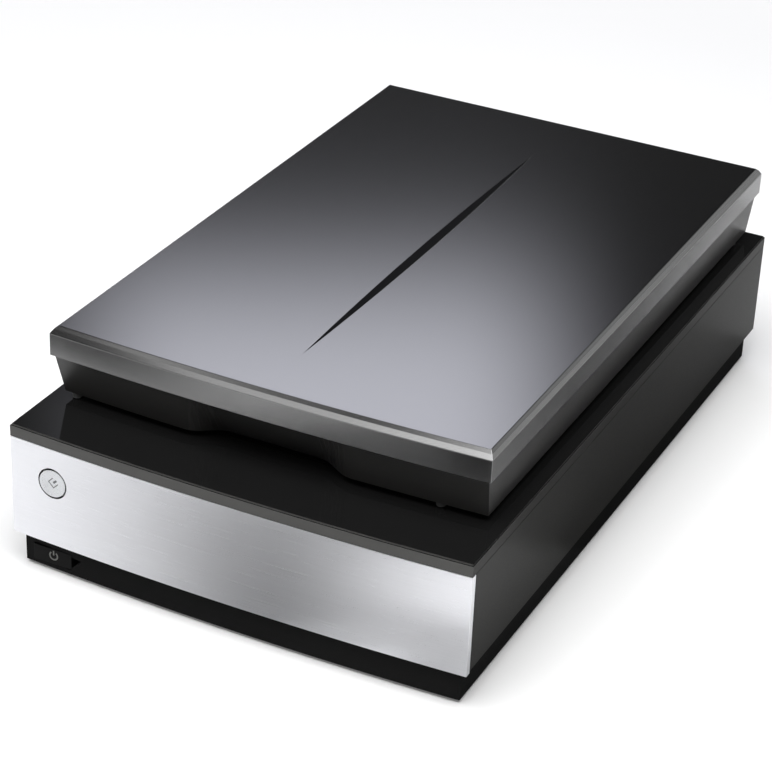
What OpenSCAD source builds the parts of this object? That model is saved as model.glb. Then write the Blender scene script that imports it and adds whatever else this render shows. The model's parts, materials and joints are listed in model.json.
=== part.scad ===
// Flatbed film and photo scanner with a lamp in its hinged lid.
// Millimetres. +Z is up, the front faces -Y, and the origin is on the floor
// under the middle of the whole object.

/* [Base] */
// Width of the base
body_w = 308; // [290:1:340]
// Depth of the base, without what stands out behind
body_d = 490; // [470:1:520]
// Height of the base's top above the floor
base_h = 100; // [98:0.5:112]
// Wall thickness of the cases
wall = 2.5; // [2:0.1:3]
// Height of the top cover's lip
lip_h = 8; // [6:0.5:10]
// Height of the front panel's lower edge
panel_z = 24; // [22:0.5:26]
// Thickness of the front panel
panel_t = 2; // [1.5:0.1:2.4]
// How far the panel's ends wrap round the sides
panel_return = 4.5; // [3:0.1:6]
// How far the whole front bows out in the middle, seen from above
front_bow = 4.8; // [3:0.1:6]
// Step from the side case in to the plinth
plinth_in = 5.4; // [4:0.1:7]
// Thickness of the plinth's floor
floor_t = 3; // [2:0.1:4]

/* [Platen] */
// Width of the visible glass
glass_w = 228; // [216:1:236]
// Length of the visible glass
glass_l = 314; // [300:1:320]
// Thickness of the glass
glass_t = 3; // [2.5:0.1:4]
// Width of the bezel round the glass
bezel_w = 6; // [4:0.5:8]

/* [Lid] */
// Width of the lid
lid_w = 293.6; // [285:0.2:296]
// Distance from the base's rear to the lid's rear
lid_rear_in = 2.8; // [2:0.1:6]
// Height of the lid's top above the floor
lid_top = 152; // [148:0.5:162]
// Height of the lid's upper band
band_h = 18.9; // [15:0.1:22]
// Gap between the lid's lower edge and the base
lid_gap = 5; // [4:0.1:6]
// Distance from the base's front to the lid's front
lid_front_in = 34.6; // [30:0.1:40]
// How far the skirt leans in at the front and the rear
skirt_lean = 7.5; // [4:0.1:9]
// Length of the spindle-shaped inlay
inlay_l = 326; // [280:1:350]
// Greatest width of the inlay
inlay_w = 6.4; // [4:0.1:9]
// Width of the finger scoop
scoop_w = 114; // [90:1:130]
// Depth of the finger scoop at the skirt's edge
scoop_d = 11; // [6:0.5:12]

/* [Buttons] */
// Radius of the start button
button_r = 9.4; // [8:0.1:11]
// Travel of the start button
button_travel = 1.5; // [1:0.1:2]
// Width of the power button
power_w = 27.5; // [22:0.5:30]
// Height of the power button
power_h = 11; // [9:0.5:12]
// Travel of the power button
power_travel = 2.5; // [1.5:0.1:3]

/* [Hinge] */
// Distance of each hinge from the middle
hinge_x = 95; // [85:1:105]
// Radius of the hinge pins
pin_r = 3; // [2.5:0.1:3.5]
// Radius of the knuckles
knuckle_r = 6; // [5.5:0.1:6.5]
// How far the hinge posts lift
hinge_lift = 25; // [15:1:28]
// Width of a hinge post
post_w = 30; // [24:1:32]

/* [Carriage] */
// Travel of the scan carriage
scan_travel = 310; // [290:1:315]
// Length of the scan carriage along its travel
carriage_l = 64; // [56:1:68]
// Width of the scan carriage
carriage_w = 236; // [220:1:240]
// Radius of the guide rod
rod_r = 4; // [3:0.1:5]
// Radius of the belt's pulleys at the belt
pulley_r = 7; // [6:0.1:7.5]
// Width of the belts
belt_w = 6; // [4:0.5:7]
// Thickness of the belts
belt_t = 1.2; // [1:0.1:1.5]
// Travel of the lid's lamp carriage
lamp_travel = 250; // [200:1:260]

/* [Drive] */
// Tooth size, as module
gear_m = 0.8; // [0.75:0.05:0.85]
// Teeth of the motor's pinion
pinion_teeth = 14; // [14:1:16]
// Teeth of the reduction gear
gear_teeth = 52; // [50:1:54]

/* [Hidden] */

fit = 0.02;      // radial clearance of a seat
run = 0.05;      // radial clearance of a running fit
gap = 0.3;       // clearance beside a part that moves
joint_gap = 0.3; // visible line between two covers
rear_out = 13;   // what the hinges stand out behind the base
depth = front_bow + body_d + rear_out;
front_y = front_bow - depth / 2; // the front at its corners
rear_y = front_y + body_d;
back_y = depth / 2;
round_fn = 48;
bow_step = 14;   // distance between points along the bowed front

foot_h = 2.5;
foot_r = 9;
floor_z = foot_h + floor_t;
plinth_w = body_w - 2 * plinth_in;
plinth_front = front_y + plinth_in;
plinth_rear = rear_y - 2;
side_z = panel_z + 1.6;
lip_z = base_h - lip_h;
cover_under = base_h - wall;
glass_z = cover_under - glass_t;
foot_x = plinth_w / 2 - 22;
foot_y = [plinth_front + 52, plinth_rear - 52];

// glass, a little in front of the lid's middle
glass_shift = 8.9;
glass_y = front_y + (body_d + lid_front_in - lid_rear_in) / 2 - glass_shift;
opening_w = glass_w + 2 * bezel_w;
opening_l = glass_l + 2 * bezel_w;
pane_lap = 5;

// lid
lid_front = front_y + lid_front_in;
lid_rear = rear_y - lid_rear_in;
band_z = lid_top - band_h;
skirt_z = base_h + lid_gap;
skirt_step = 2;
skirt_side_lean = 2.2;
rear_lean = 6;
scoop_flank = 26;
arch_rise = 1.6;
arch_chord = scoop_w - 20;
arch_r = (arch_chord * arch_chord / 4 + arch_rise * arch_rise) / (2 * arch_rise);
lid_floor = 3;
lid_wall = 2.5;
lid_in_top = lid_top - 3;
inlay_t = 0.8;

// hinge
axis_y = rear_y + 6;
axis_z = base_h + 12;
post_t = 9;
cheek_t = 5;
cheek_r = knuckle_r + 0.5;
housing_top = base_h + 4;
housing_bottom = 30;
housing_wall = 4;
post_seat = 45;
post_bottom = axis_z - hinge_lift - post_seat;

// scan drive
belt_x = -40;
belt_z = 23;
pulley_y = rear_y - 29;
plate_z = 19.5;
plate_t = 2;
shaft_r = 1.5;
gear_z = 12;
gear_t = 5;
centre_dist = gear_m * (pinion_teeth + gear_teeth) / 2 + 0.1;
motor_x = belt_x + centre_dist;
motor_r = 15;
motor_h = 18;

// scan carriage
carriage_z = 38;
carriage_top = glass_z - 1.5;
carriage_y = pulley_y - 21 - carriage_l / 2;
idler_in = 34; // idler behind the front
idler_y = front_y + idler_in;
carriage_wall = 3;
rod_in = 62; // guide rod inside the left side
rod_x = rod_in - body_w / 2;
rod_z = 31;
bush_r = rod_r + 2.5;
bush_l = 12;
boss_r = bush_r + 2.5;
rail_in = 46; // rail inside the right side
rail_x = body_w / 2 - rail_in;
rail_z = 28;
rail_t = 1.5;
rail_w = 12;
glow_l = carriage_w - 20;
scan_slot = 12;
sensor_x = 30;
sensor_w = 100;
sensor_in = 26; // sensor board behind the carriage's middle

// buttons
start_x = 30.5 - body_w / 2;
start_front = front_y - bowed_by(start_x);
start_z = 67.9;
ring_gap = 0.85; // dark ring round the start button
dish_r = 60;
dish_d = 0.5;
power_x = 25.6 - body_w / 2;
power_z = 11.2;
power_front = plinth_front - bowed_by(power_x) - 0.5;
notch_w = 7.5;
notch_h = 8;
notch_d = 6;
case_front = front_y + panel_t + 0.5;
board_y = case_front + 22;

// jacks at the rear
board_z = 24;
board_t = 1.6;
jack_z = board_z + board_t;
board_x0 = 8;
board_w = 90;
board_l = 140;
board_rear = rear_y - 6;
inlet_x = 20;
port_x = 38;
socket_x = 58;

// lamp carriage in the lid
lamp_z = skirt_z + 9;
lamp_h = 14;
lamp_w = 216;
lamp_l = 40;
lamp_y = lid_rear - 62;
lamp_rod_x = 122;
lamp_rod_r = 3;
lamp_rod_z = lamp_z + lamp_h / 2;
lamp_rod_end = 14;
lamp_clamp_t = 8;
lamp_belt_x = 100;
lamp_pulley_r = 6;
lamp_belt_z = lamp_z + lamp_h + 3;
lamp_pulley_y = lid_rear - 30;
lamp_idler_y = lid_front + 34;
lid_board_x = -40;
lid_board_w = 60;
lid_board_y = lid_rear - 29;
window_w = 222;
window_l = 300;
window_y = glass_y;
rest_gap = 0.4;
bumper_r = 3;
bumper_front = lid_front + 13.4;
bumper_rear = lid_rear - 23.2;

module slab(x0, x1, y0, y1, z0, z1)
    translate([x0, y0, z0]) cube([x1 - x0, y1 - y0, z1 - z0]);

// How far the front stands out at a distance from the middle
function bowed_by(x) = front_bow * (1 - pow(2 * x / body_w, 2));

// A slab as wide as 2 * half, whose front y0 bows out
module bowed_slab(half, y0, y1, z0, z1) {
    inner = [for (i = [-10:10]) if (abs(i * bow_step) < half - 2) i * bow_step];
    front = [for (x = concat([-half], inner, [half])) [x, y0 - bowed_by(x)]];
    translate([0, 0, z0]) linear_extrude(z1 - z0) polygon(concat(front, [[half, y1], [-half, y1]]));
}

module block(w, l, h, x = 0, y = 0, z = 0)
    translate([x - w / 2, y - l / 2, z]) cube([w, l, h]);

module rod_y(r, l, x, y, z)
    translate([x, y, z]) rotate([-90, 0, 0]) cylinder(r = r, h = l, $fn = round_fn);

module rod_x(r, l, x, y, z)
    translate([x, y, z]) rotate([0, 90, 0]) cylinder(r = r, h = l, $fn = round_fn);

module post(r, h, x, y, z)
    translate([x, y, z]) cylinder(r = r, h = h, $fn = round_fn);

module both_sides() {
    children();
    mirror([1, 0, 0]) children();
}

// Screw with a round head below and its shank upwards
module screw_up(x, y, z, shank) {
    post(3.5, 2, x, y, z);
    post(1.5, shank + 0.5, x, y, z + 1.5);
}

// ---- gears: involute teeth, with play between the flanks ----
function involute(rb, a) = [rb * (cos(a) + a * PI / 180 * sin(a)), rb * (sin(a) - a * PI / 180 * cos(a))];
function turned(p, a) = [p[0] * cos(a) - p[1] * sin(a), p[0] * sin(a) + p[1] * cos(a)];
function roll_at(rb, r) = sqrt(max(0, r * r / (rb * rb) - 1)) * 180 / PI;
function inv_angle(rb, r) = roll_at(rb, r) - atan(roll_at(rb, r) * PI / 180);

module gear_outline(teeth) {
    pitch_r = gear_m * teeth / 2;
    base_r = pitch_r * cos(25);
    tip_r = pitch_r + 0.8 * gear_m;
    root_r = pitch_r - 1.05 * gear_m;
    start_r = max(base_r, root_r);
    play = 0.12;
    half = 90 / teeth - play / pitch_r * 90 / PI + inv_angle(base_r, pitch_r);
    steps = 4;
    tooth = concat(
        [turned([root_r, 0], -half)],
        [for (i = [0:steps]) turned(involute(base_r, roll_at(base_r,
            start_r + (tip_r - start_r) * i / steps)), -half)],
        [for (i = [steps:-1:0]) let (p = involute(base_r, roll_at(base_r,
            start_r + (tip_r - start_r) * i / steps)))
            turned([p[0], -p[1]], half)],
        [turned([root_r, 0], half)]
    );
    polygon([for (k = [0:teeth - 1]) for (p = tooth) turned(p, 360 * k / teeth)]);
}

// ---- belts and pulleys: a toothless loop round two upright pulleys ----
module belt_loop(x, y0, y1, z, r) {
    translate([x, 0, z]) linear_extrude(belt_w) difference() {
        loop_shape(y0, y1, r + belt_t);
        loop_shape(y0, y1, r);
    }
}

module loop_shape(y0, y1, r) {
    translate([0, y0]) circle(r, $fn = round_fn);
    translate([0, y1]) circle(r, $fn = round_fn);
    translate([-r, y0]) square([2 * r, y1 - y0]);
}

module flanged_pulley(x, y, z, r, bore) {
    difference() {
        union() {
            post(r - 0.1, belt_w + 2, x, y, z - 1);
            post(r + 1.4, 0.8, x, y, z - 1.2);
            post(r + 1.4, 0.8, x, y, z + belt_w + 0.4);
        }
        post(bore, belt_w + 10, x, y, z - 5);
    }
}

// ---- lower case: the plinth, its floor, bosses, ribs and power switch bay ----
module lower_case() color([0.05, 0.05, 0.055]) difference() {
    union() {
        difference() {
            bowed_slab(plinth_w / 2, plinth_front, plinth_rear, foot_h, side_z);
            bowed_slab(plinth_w / 2 - wall, plinth_front + wall, plinth_rear - wall, floor_z, base_h);
        }
        for (x = [-1, 1]) for (y = foot_y) post(5, side_z - floor_z, x * foot_x, y, floor_z);
        slab(rail_x - 3, rail_x + 3, plinth_front + 20, plinth_rear - 12, floor_z, rail_z);
        for (x = [board_x0 + 6, board_x0 + board_w - 6]) for (y = [board_rear - board_l + 6, board_rear - 8])
            post(3.5, board_z - floor_z, x, y, floor_z);
        power_bay_walls();
    }
    for (x = [-1, 1]) for (y = foot_y) {
        post(1.5 + fit, side_z, x * foot_x, y, foot_h);
        post(3.5 + gap, 2.2, x * foot_x, y, foot_h - 0.2);
    }
    power_bay_cut();
    lock_hole();
}

module power_bay_walls() {
    slab(power_x - power_w / 2 - 2, power_x + power_w / 2 + notch_w + 2, plinth_front, plinth_front + 16,
        floor_z, floor_z + power_h + 5);
}

module power_bay_cut() {
    slab(power_x - power_w / 2 - gap, power_x + power_w / 2 + gap, plinth_front - 5, plinth_front + 13,
        power_z - power_h / 2 - gap, power_z + power_h / 2 + gap);
    slab(power_x - 5, power_x + 5, plinth_front + 12, plinth_front + 20, power_z - 4, power_z + 4);
    // three-cornered finger notch beside the button
    translate([power_x + power_w / 2, plinth_front + notch_d, power_z]) rotate([90, 0,
        0]) linear_extrude(notch_d + 5)
        polygon([[0, -notch_h / 2], [notch_w, notch_h / 2 - 1], [0, notch_h / 2]]);
}

// ---- side case: the dark ring between plinth and top cover ----
module side_case() color([0.13, 0.125, 0.12]) difference() {
    bowed_slab(body_w / 2, case_front, rear_y, side_z, cover_under);
    bowed_slab(body_w / 2 - wall, case_front + wall, rear_y - wall, side_z + wall, base_h);
    bowed_slab(plinth_w / 2 - 8, case_front + 8, rear_y - 8, side_z - 1, base_h);
    // step for the panel's returns
    both_sides() slab(body_w / 2 - panel_t - gap, body_w, front_y, front_y + panel_return + joint_gap,
        side_z - 1, base_h);
    // step for the top cover's lip
    difference() {
        slab(-body_w, body_w, front_y - 9, rear_y + 1, lip_z - joint_gap, base_h);
        bowed_slab(body_w / 2 - wall - gap, front_y + wall + gap, rear_y - wall - gap, 0, base_h + 1);
    }
    rod_y(button_r + ring_gap + gap, 10, start_x, case_front - 5, start_z);
    jack_cuts();
    both_sides() slab(hinge_x - post_w / 2 + 2, hinge_x + post_w / 2 - 2, rear_y - wall - 1, rear_y + 1,
        60, 70);
}

module jack_cuts() {
    slab(inlet_x - 6.3, inlet_x + 6.3, rear_y - 12, rear_y + 1, side_z - 1, jack_z + 12.3);
    slab(port_x - 6.8, port_x + 6.8, rear_y - 12, rear_y + 1, side_z - 1, jack_z + 11.8);
    slab(socket_x - 10.8, socket_x + 10.8, rear_y - 12, rear_y + 1, side_z - 1, jack_z + 9.3);
    slab(inlet_x - 12, socket_x + 14, rear_y - 12, rear_y - wall + 0.5, side_z - 1, side_z + wall + 1);
}

// ---- front panel with its wrapped ends ----
module front_panel() color([0.72, 0.73, 0.75]) difference() {
    bowed_slab(body_w / 2, front_y, front_y + panel_return, panel_z, lip_z - joint_gap);
    bowed_slab(body_w / 2 - panel_t, front_y + panel_t, front_y + panel_return + 1, panel_z - 1, base_h);
    rod_y(button_r + ring_gap, panel_t + 4, start_x, start_front - 2, start_z);
}

// ---- top cover: gloss black frame with a lip all round ----
module top_cover() color([0.02, 0.02, 0.022]) difference() {
    union() {
        bowed_slab(body_w / 2, front_y, rear_y, lip_z, base_h - 1);
        bowed_slab(body_w / 2 - 0.8, front_y + 1.2, rear_y - 0.8, base_h - 1.2, base_h);
    }
    bowed_slab(body_w / 2 - wall, front_y + wall, rear_y - wall, lip_z - 1, cover_under);
    block(opening_w, opening_l, 10, 0, glass_y, cover_under - 5);
    both_sides() slab(hinge_x - post_w / 2 - 2, hinge_x + post_w / 2 + 2, rear_y - 0.1, rear_y + 1, 0,
        base_h + 1);
}

module platen_glass() color([0.75, 0.85, 0.85, 0.4])
    block(opening_w + 2 * pane_lap, opening_l + 2 * pane_lap, glass_t, 0, glass_y, glass_z);

module platen_bezel() color([0.1, 0.1, 0.1]) difference() {
    block(opening_w - 2 * fit, opening_l - 2 * fit, wall, 0, glass_y, cover_under);
    block(glass_w, glass_l, 10, 0, glass_y, cover_under - 1);
    // reference corner mark
    translate([glass_w / 2 + 1, glass_y + glass_l / 2 + 1, base_h - 0.4]) linear_extrude(1)
        polygon([[0, 0], [3.5, 1.2], [1.2, 3.5]]);
}

module rubber_feet() color([0.06, 0.06, 0.06]) for (x = [-1, 1]) for (y = foot_y)
    difference() {
        post(foot_r, foot_h, x * (foot_x), y, 0);
        post(4.2, 10, x * foot_x, y, -1);
    }

module case_screws() color([0.6, 0.6, 0.62]) for (x = [-1, 1]) for (y = foot_y)
    screw_up(x * foot_x, y, foot_h, side_z - foot_h - 2.5);

// ---- buttons ----
module start_button() color([0.78, 0.79, 0.8]) {
    difference() {
        rod_y(button_r, case_front + 4 - start_front, start_x, start_front, start_z);
        // shallow dish
        translate([start_x, start_front + dish_d - dish_r, start_z]) sphere(r = dish_r, $fn = round_fn * 2);
    }
    rod_y(button_r + 2.4, 1.6, start_x, case_front + wall + gap - bowed_by(abs(start_x) + button_r + 2.4),
        start_z);
    rod_y(2.5, 10, start_x, case_front + wall, start_z);
}

module power_button() color([0.03, 0.03, 0.03]) {
    slab(power_x - power_w / 2, power_x + power_w / 2, power_front, plinth_front + 10,
        power_z - power_h / 2, power_z + power_h / 2);
    slab(power_x - 3, power_x + 3, plinth_front + 9, plinth_front + 18, power_z - 2, power_z + 2);
}

module button_board() color([0.05, 0.3, 0.15]) {
    slab(start_x - 14, start_x + 16, board_y, board_y + 1.6, start_z - 16, start_z + 14);
    slab(start_x - 3, start_x + 3, case_front + wall + 10 + button_travel + 0.5, board_y + 0.5,
        start_z - 3, start_z + 3);
    // posts that hold the board to the case
    for (z = [-11, 11]) rod_y(2.2, board_y - case_front - wall + 0.5, start_x + 13, case_front + wall,
        start_z + z);
}

module power_switch() color([0.12, 0.12, 0.13]) {
    slab(power_x - 7, power_x + 7, plinth_front + 18 + power_travel + 0.5, plinth_front + 34, floor_z,
        power_z + 7);
    for (x = [-4, 0, 4]) slab(power_x + x - 0.5, power_x + x + 0.5, plinth_front + 33, plinth_front + 38,
        power_z - 2, power_z + 2);
}

// ---- scan drive ----
module guide_rod() color([0.8, 0.8, 0.82])
    rod_y(rod_r, body_d - 30, rod_x, front_y + 14, rod_z);

module rod_clamps() color([0.15, 0.15, 0.16]) for (y = [front_y + 14, rear_y - 16 - 14])
    difference() {
        slab(rod_x - 10, rod_x + 10, y + 2, y + 12, floor_z, rod_z + rod_r + 3);
        rod_y(rod_r + fit, 30, rod_x, y - 5, rod_z);
    }

module slide_rail() color([0.7, 0.7, 0.72])
    slab(rail_x - rail_w / 2, rail_x + rail_w / 2, plinth_front + 22, plinth_rear - 14, rail_z,
        rail_z + rail_t);

module drive_belt() color([0.08, 0.08, 0.08]) belt_loop(belt_x, idler_y, pulley_y, belt_z, pulley_r);

module drive_pulley() color([0.75, 0.7, 0.6]) {
    flanged_pulley(belt_x, pulley_y, belt_z, pulley_r, shaft_r + fit);
    difference() {
        post(3, belt_z - 1 - gear_z - gear_t, belt_x, pulley_y, gear_z + gear_t);
        post(shaft_r + fit, 20, belt_x, pulley_y, gear_z);
    }
}

module reduction_gear() color([0.85, 0.83, 0.75]) {
    translate([belt_x, pulley_y, gear_z]) linear_extrude(gear_t) difference() {
        gear_outline(gear_teeth);
        for (a = [0:60:300]) rotate(a) translate([12, 0]) circle(3.4, $fn = round_fn);
    }
    post(shaft_r, belt_z + belt_w + 1.5 - gear_z + 2, belt_x, pulley_y, gear_z - 2);
}

module motor_pinion() color([0.8, 0.7, 0.4]) {
    translate([motor_x, pulley_y, gear_z - 1]) linear_extrude(gear_t + 1)
        rotate(180 / pinion_teeth) gear_outline(pinion_teeth);
    post(1.5, plate_z + plate_t + 3 - gear_z, motor_x, pulley_y, gear_z);
}

module stepper_motor() color([0.5, 0.5, 0.52]) difference() {
    union() {
        post(motor_r, motor_h, motor_x, pulley_y, plate_z + plate_t);
        post(6, 2, motor_x, pulley_y, plate_z + 0.3);
        slab(motor_x - 6, motor_x + 6, pulley_y + 4, pulley_y + motor_r + 1.5, plate_z + plate_t + 4,
            plate_z + plate_t + 12);
        block(14, 2 * motor_r + 12, 1, motor_x, pulley_y, plate_z + plate_t);
    }
    post(1.5 + run, 20, motor_x, pulley_y, plate_z - 15 + plate_t + 3.5);
}

module motor_bracket() color([0.65, 0.66, 0.68]) difference() {
    union() {
        slab(belt_x - 12, motor_x + 20, pulley_y - 21, pulley_y + 22, plate_z, plate_z + plate_t);
        for (y = [pulley_y - 21, pulley_y + 20]) slab(motor_x + 5, motor_x + 20, y, y + 2, floor_z,
            plate_z + 1);
        slab(motor_x + 18, motor_x + 20, pulley_y - 21, pulley_y + 22, floor_z, plate_z + 1);
        post(5, 4, belt_x, pulley_y, floor_z);
    }
    post(shaft_r + run, 40, belt_x, pulley_y, floor_z + 1);
    post(4, 20, belt_x, pulley_y, plate_z - 5);
    post(7, 20, motor_x, pulley_y, plate_z - 5);
}

module idler_pulley() color([0.75, 0.7, 0.6])
    flanged_pulley(belt_x, idler_y, belt_z, pulley_r, 2 + run);

module idler_bracket() color([0.65, 0.66, 0.68]) {
    post(2, belt_w + 5, belt_x, idler_y, belt_z - 2.5);
    slab(belt_x - 12, belt_x + 12, idler_y - 14, idler_y + 12, belt_z - 4, belt_z - 2);
    slab(belt_x - 12, belt_x + 12, idler_y + 10, idler_y + 12, floor_z, belt_z - 3);
    slab(belt_x - 12, belt_x + 12, idler_y - 14, idler_y - 12, belt_z - 3, belt_z + 8);
}

module tension_spring() color([0.75, 0.75, 0.76]) {
    // closed coil between the idler's plate and the plinth's front wall
    coil_y0 = plinth_front + wall;
    coil_y1 = idler_y - 14;
    coil_step = 1.4;
    for (y = [coil_y0 + 0.6:coil_step:coil_y1 - 0.5])
        translate([belt_x, y, belt_z - 3]) rotate([90, 0, 0]) rotate_extrude($fn = round_fn)
            translate([3, 0]) circle(0.45, $fn = 24);
    rod_y(2.6, coil_y1 - coil_y0, belt_x, coil_y0, belt_z - 3);
}

// ---- scan carriage ----
module scan_carriage() color([0.12, 0.12, 0.13]) {
    w = carriage_w / 2;
    y0 = carriage_y - carriage_l / 2;
    y1 = carriage_y + carriage_l / 2;
    difference() {
        union() {
            slab(-w, w, y0, y1, carriage_z, carriage_top - 2);
            rod_y(boss_r, carriage_l, rod_x, y0, rod_z);
            slab(rod_x - boss_r, rod_x + boss_r, y0, y1, rod_z, carriage_z + 1);
        }
        slab(-w + carriage_wall, w - carriage_wall, y0 + carriage_wall, y1 - carriage_wall, carriage_z + 3,
            base_h);
        rod_y(bush_r + fit, 200, rod_x, y0 - 50, rod_z);
    }
}

module carriage_cover() color([0.18, 0.18, 0.19]) difference() {
    block(carriage_w, carriage_l, 2, 0, carriage_y, carriage_top - 2);
    block(glow_l, scan_slot, 10, 0, carriage_y, carriage_top - 5);
}

module carriage_bushes() color([0.75, 0.55, 0.3]) for (y = [-carriage_l / 2, carriage_l / 2 - bush_l])
    difference() {
        rod_y(bush_r, bush_l, rod_x, carriage_y + y, rod_z);
        rod_y(rod_r + run, bush_l + 2, rod_x, carriage_y + y - 1, rod_z);
    }

module glide_pad() color([0.9, 0.9, 0.88])
    slab(rail_x - 4, rail_x + 4, carriage_y - 14, carriage_y + 14, rail_z + rail_t + gap, carriage_z);

module lamp_bars() color([0.95, 0.95, 0.85]) for (s = [-1, 1])
    block(glow_l - 2, 5, 4, 0, carriage_y + s * (scan_slot / 2 + 4), carriage_top - 6);

module scan_mirrors() color([0.8, 0.85, 0.9]) {
    tilted_mirror(carriage_y - 2, carriage_z + 9, 45);
    tilted_mirror(carriage_y - 22, carriage_z + 14, -20);
    tilted_mirror(carriage_y + 20, carriage_z + 24, 20);
}

module tilted_mirror(y, z, a)
    translate([0, y, z]) rotate([a, 0, 0]) cube([carriage_w - 2 * carriage_wall, 12, 1.5], center = true);

module lens_block() color([0.1, 0.1, 0.1]) difference() {
    block(56, 13, 18, 30, carriage_y + 18, carriage_z + 3);
    for (x = [16, 42]) rod_y(6 + fit, 40, x, carriage_y, carriage_z + 12);
}

module scan_lenses() color([0.4, 0.5, 0.7, 0.6]) for (x = [16, 42])
    rod_y(6, 11, x, carriage_y + 12.5, carriage_z + 12);

module sensor_board() color([0.05, 0.3, 0.15]) {
    face = carriage_y + sensor_in;
    on_floor = carriage_z + 3;
    slab(sensor_x - sensor_w / 2, sensor_x + sensor_w / 2, face, face + board_t, on_floor, on_floor + 19);
    // the sensor itself, in front, and the foot behind
    slab(sensor_x - 30, sensor_x + 28, face - 0.8, face + 0.2, on_floor + 5, on_floor + 13);
    slab(sensor_x - sensor_w / 2, sensor_x + sensor_w / 2, face + board_t - 0.2,
        carriage_y + carriage_l / 2 - carriage_wall, on_floor, on_floor + 3);
}

module belt_clip() color([0.15, 0.15, 0.16]) difference() {
    slab(belt_x - pulley_r - 4.5, belt_x - pulley_r + 3.5, carriage_y - 9, carriage_y + 9, belt_z - 2,
        carriage_z);
    slab(belt_x - pulley_r - belt_t - gap, belt_x - pulley_r + gap, carriage_y - 20, carriage_y + 20,
        belt_z - gap, belt_z + belt_w + gap);
}

// ---- electronics ----
module main_board() color([0.05, 0.3, 0.15]) {
    on_board = jack_z - 0.2;
    slab(board_x0, board_x0 + board_w, board_rear - board_l, board_rear, board_z, jack_z);
    // processor, memory, capacitors and the carriage cable's socket
    block(28, 28, 3.2, board_x0 + 36, board_rear - 80, on_board);
    block(18, 16, 2.7, board_x0 + 71, board_rear - 56, on_board);
    for (y = [106, 119]) post(4, 9, board_x0 + 12, board_rear - y, on_board);
    block(26, 8, 6.2, board_x0 + 71, board_rear - 122, on_board);
}

module power_inlet() color([0.05, 0.05, 0.05]) {
    difference() {
        slab(inlet_x - 6, inlet_x + 6, rear_y - 12, rear_y, jack_z, jack_z + 12);
        rod_y(4.2, 20, inlet_x, rear_y - 10, jack_z + 6);
    }
    rod_y(1, 8, inlet_x, rear_y - 10.5, jack_z + 6);
}

module data_port() color([0.7, 0.7, 0.72]) difference() {
    slab(port_x - 6.5, port_x + 6.5, rear_y - 12, rear_y, jack_z, jack_z + 11.5);
    slab(port_x - 4.3, port_x + 4.3, rear_y - 10, rear_y + 1, jack_z + 1.7, jack_z + 9.8);
}

module lid_connector() color([0.08, 0.08, 0.08]) {
    difference() {
        slab(socket_x - 10.5, socket_x + 10.5, rear_y - 12, rear_y, jack_z, jack_z + 9);
        slab(socket_x - 8.5, socket_x + 8.5, rear_y - 8, rear_y + 1, jack_z + 1.6, jack_z + 7.4);
    }
    for (i = [-3:3]) rod_y(0.4, 2.5, socket_x + 2 * i, rear_y - 8.5, jack_z + 4.5);
}

// ---- transport lock in the floor, turned with a coin ----
lock_x = 60;
lock_y = front_y + 120;
module lock_hole() {
    post(8 + gap, 20, lock_x, lock_y, foot_h - 1);
}

module transport_lock() color([0.85, 0.85, 0.86]) difference() {
    union() {
        post(8, floor_t + 0.4, lock_x, lock_y, foot_h + 0.2);
        post(10, 2, lock_x, lock_y, floor_z + 0.2);
        slab(lock_x - 2.5, lock_x + 14, lock_y - 2.5, lock_y + 2.5, floor_z + 1.5, floor_z + 5);
    }
    block(12, 2, 1.5, lock_x, lock_y, foot_h);
}

// ---- hinge ----
module hinge_housings() color([0.06, 0.06, 0.065]) both_sides() difference() {
    slab(hinge_x - post_w / 2 - housing_wall, hinge_x + post_w / 2 + housing_wall, rear_y, back_y - 0.3,
        housing_bottom, housing_top);
    slab(hinge_x - post_w / 2 - gap, hinge_x + post_w / 2 + gap, rear_y + 0.9, axis_y + post_t / 2 + gap,
        post_bottom - gap, base_h * 2);
}

module hinge_posts() color([0.55, 0.56, 0.58]) both_sides() difference() {
    union() {
        slab(hinge_x - post_w / 2, hinge_x + post_w / 2, axis_y - post_t / 2, axis_y + post_t / 2,
            post_bottom, axis_z - 4);
        slab(hinge_x - post_w / 2, hinge_x + post_w / 2, axis_y - 3, axis_y + 3, axis_z - 5, axis_z);
        rod_x(knuckle_r, post_w, hinge_x - post_w / 2, axis_y, axis_z);
    }
    rod_x(pin_r + run, post_w + 2, hinge_x - post_w / 2 - 1, axis_y, axis_z);
}

module hinge_pins() color([0.8, 0.8, 0.82]) both_sides()
    rod_x(pin_r, post_w + 2 * cheek_t + 2 * gap, hinge_x - post_w / 2 - cheek_t - gap, axis_y, axis_z);

bracket_back = lid_rear - 15;
module hinge_brackets() color([0.6, 0.6, 0.62]) both_sides() {
    for (x = [hinge_x - post_w / 2 - gap - cheek_t, hinge_x + post_w / 2 + gap])
        difference() {
            union() {
                rod_x(cheek_r, cheek_t, x, axis_y, axis_z);
                slab(x, x + cheek_t, bracket_back, axis_y, axis_z - 3, axis_z + cheek_r);
                slab(x, x + cheek_t, bracket_back, lid_rear - 6, axis_z - 3, axis_z + 14);
            }
            rod_x(pin_r + fit, cheek_t + 2, x - 1, axis_y, axis_z);
        }
    slab(hinge_x - post_w / 2 - gap - cheek_t, hinge_x + post_w / 2 + gap + cheek_t, bracket_back,
        bracket_back + 3, axis_z - 3, axis_z + 14);
}

module hinge_covers() color([0.06, 0.06, 0.065]) both_sides() {
    w = post_w + 2 * cheek_t + 2 * gap + 4;
    difference() {
        slab(hinge_x - w / 2, hinge_x + w / 2, lid_rear, back_y, axis_z + cheek_r + gap, axis_z + 22);
        slab(hinge_x - w / 2 + 1.8, hinge_x + w / 2 - 1.8, lid_rear - 1, back_y - 1.8, axis_z, axis_z + 20.2);
    }
}

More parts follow.
